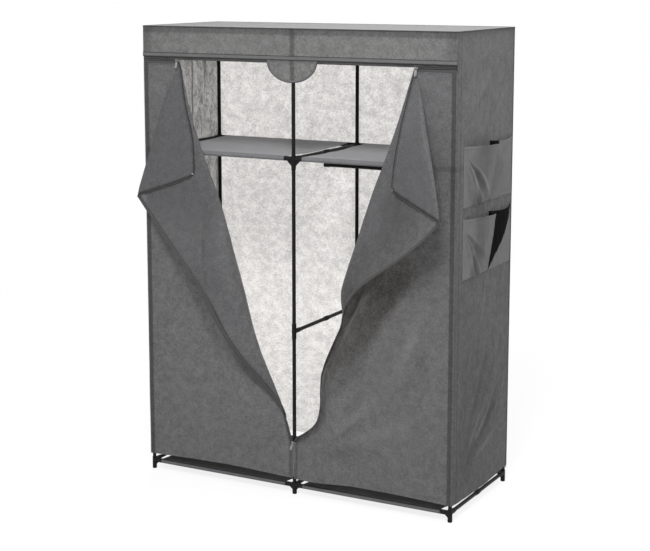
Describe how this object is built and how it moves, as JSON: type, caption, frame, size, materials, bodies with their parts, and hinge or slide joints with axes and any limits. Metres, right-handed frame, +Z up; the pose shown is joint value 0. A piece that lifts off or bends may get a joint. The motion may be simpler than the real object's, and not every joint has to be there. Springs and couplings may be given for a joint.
{
  "type": "portable fabric wardrobe",
  "caption": "Free-standing wardrobe: thin black steel frame under a grey fabric cover, zipped doors folded open, fabric shelves, a hanging rail and side pockets.",
  "frame": {"origin": "middle of the floor area that the whole wardrobe covers, on the floor", "axes": "+X along the width, to the right seen from the front; +Y from the front to the back; +Z up"},
  "size_m": [1.2568, 0.6244, 1.6],
  "materials": {
    "frame_steel": "black powder-coated steel tube with black moulded connectors",
    "frame_plastic": "black moulded plastic, lightly grained",
    "cover_fabric": "mid-grey nonwoven cloth, finely mottled",
    "pale_fabric": "pale grey nonwoven cloth, softly mottled",
    "valance_fabric": "grey nonwoven cloth with a darker bound edge",
    "door_fabric": "smooth mid-grey nonwoven cloth",
    "shelf_fabric": "blue-grey nonwoven cloth, sewn in sleeves",
    "zip_tape": "dark grey woven tape with a nylon coil",
    "zip_metal": "bright die-cast metal"
  },
  "bodies": {
    "frame_and_cover": {"post_lower_front_left": "frame_steel", "post_upper_front_left": "frame_steel", "post_lower_front_centre": "frame_steel", "post_middle_front_centre": "frame_steel", "post_upper_front_centre": "frame_steel", "post_lower_front_right": "frame_steel", "post_upper_front_right": "frame_steel", "post_lower_back_left": "frame_steel", "post_upper_back_left": "frame_steel", "post_lower_back_centre": "frame_steel", "post_middle_back_centre": "frame_steel", "post_upper_back_centre": "frame_steel", "post_lower_back_right": "frame_steel", "post_upper_back_right": "frame_steel", "rail_base_front_left": "frame_steel", "rail_base_front_right": "frame_steel", "rail_base_back_left": "frame_steel", "rail_base_back_right": "frame_steel", "rail_shelf_front_left": "frame_steel", "rail_shelf_front_right": "frame_steel", "rail_shelf_back_left": "frame_steel", "rail_shelf_back_right": "frame_steel", "rail_top_front_left": "frame_steel", "rail_top_front_right": "frame_steel", "rail_top_back_left": "frame_steel", "rail_top_back_right": "frame_steel", "depth_tube_base_left": "frame_steel", "depth_tube_base_centre": "frame_steel", "depth_tube_base_right": "frame_steel", "depth_tube_shelf_left": "frame_steel", "depth_tube_shelf_centre": "frame_steel", "depth_tube_shelf_right": "frame_steel", "depth_tube_top_left": "frame_steel", "depth_tube_top_centre": "frame_steel", "depth_tube_top_right": "frame_steel", "depth_tube_middle_centre": "frame_steel", "rail_bracket_centre": "frame_plastic", "rail_bracket_right": "frame_plastic", "hanging_rail": "frame_steel", "left_side_panel": "cover_fabric", "right_side_panel": "cover_fabric", "back_panel": "pale_fabric", "roof_panel": "pale_fabric", "front_valance": "valance_fabric", "top_zip_tape": "zip_tape", "centre_zip_tape": "zip_tape", "left_door": "door_fabric", "right_door": "door_fabric", "pocket_row_upper": "cover_fabric", "pocket_row_lower": "cover_fabric", "shelf_upper_left": "shelf_fabric", "shelf_upper_right": "shelf_fabric", "shelf_base_left": "shelf_fabric", "shelf_base_right": "shelf_fabric"},
    "slider_left": {"slider_left": "zip_metal"},
    "pull_left": {"pull_left": "zip_metal"},
    "slider_right": {"slider_right": "zip_metal"},
    "pull_right": {"pull_right": "zip_metal"},
    "slider_centre": {"slider_centre": "zip_metal"},
    "pull_centre": {"pull_centre": "zip_metal"}
  },
  "joints": [
    {"name": "slider_left_travel", "type": "slide", "parent": "frame_and_cover", "child": "slider_left", "axis": [-1, 0, 0], "range_m": [0, 0.12]},
    {"name": "pull_left_swing", "type": "hinge", "parent": "slider_left", "child": "pull_left", "pos_m": [-0.45565, -0.17723, 1.483], "axis": [-1, 0, 0], "range_deg": [0, 120]},
    {"name": "slider_right_travel", "type": "slide", "parent": "frame_and_cover", "child": "slider_right", "axis": [1, 0, 0], "range_m": [0, 0.12]},
    {"name": "pull_right_swing", "type": "hinge", "parent": "slider_right", "child": "pull_right", "pos_m": [0.45035, -0.17723, 1.483], "axis": [-1, 0, 0], "range_deg": [0, 120]},
    {"name": "slider_centre_travel", "type": "slide", "parent": "frame_and_cover", "child": "slider_centre", "axis": [0, 0, -1], "range_m": [0, 0.112]},
    {"name": "pull_centre_swing", "type": "hinge", "parent": "slider_centre", "child": "pull_centre", "pos_m": [-0.00265, -0.17723, 0.183], "axis": [-0.9397, 0, 0.342], "range_deg": [0, 170]}
  ]
}
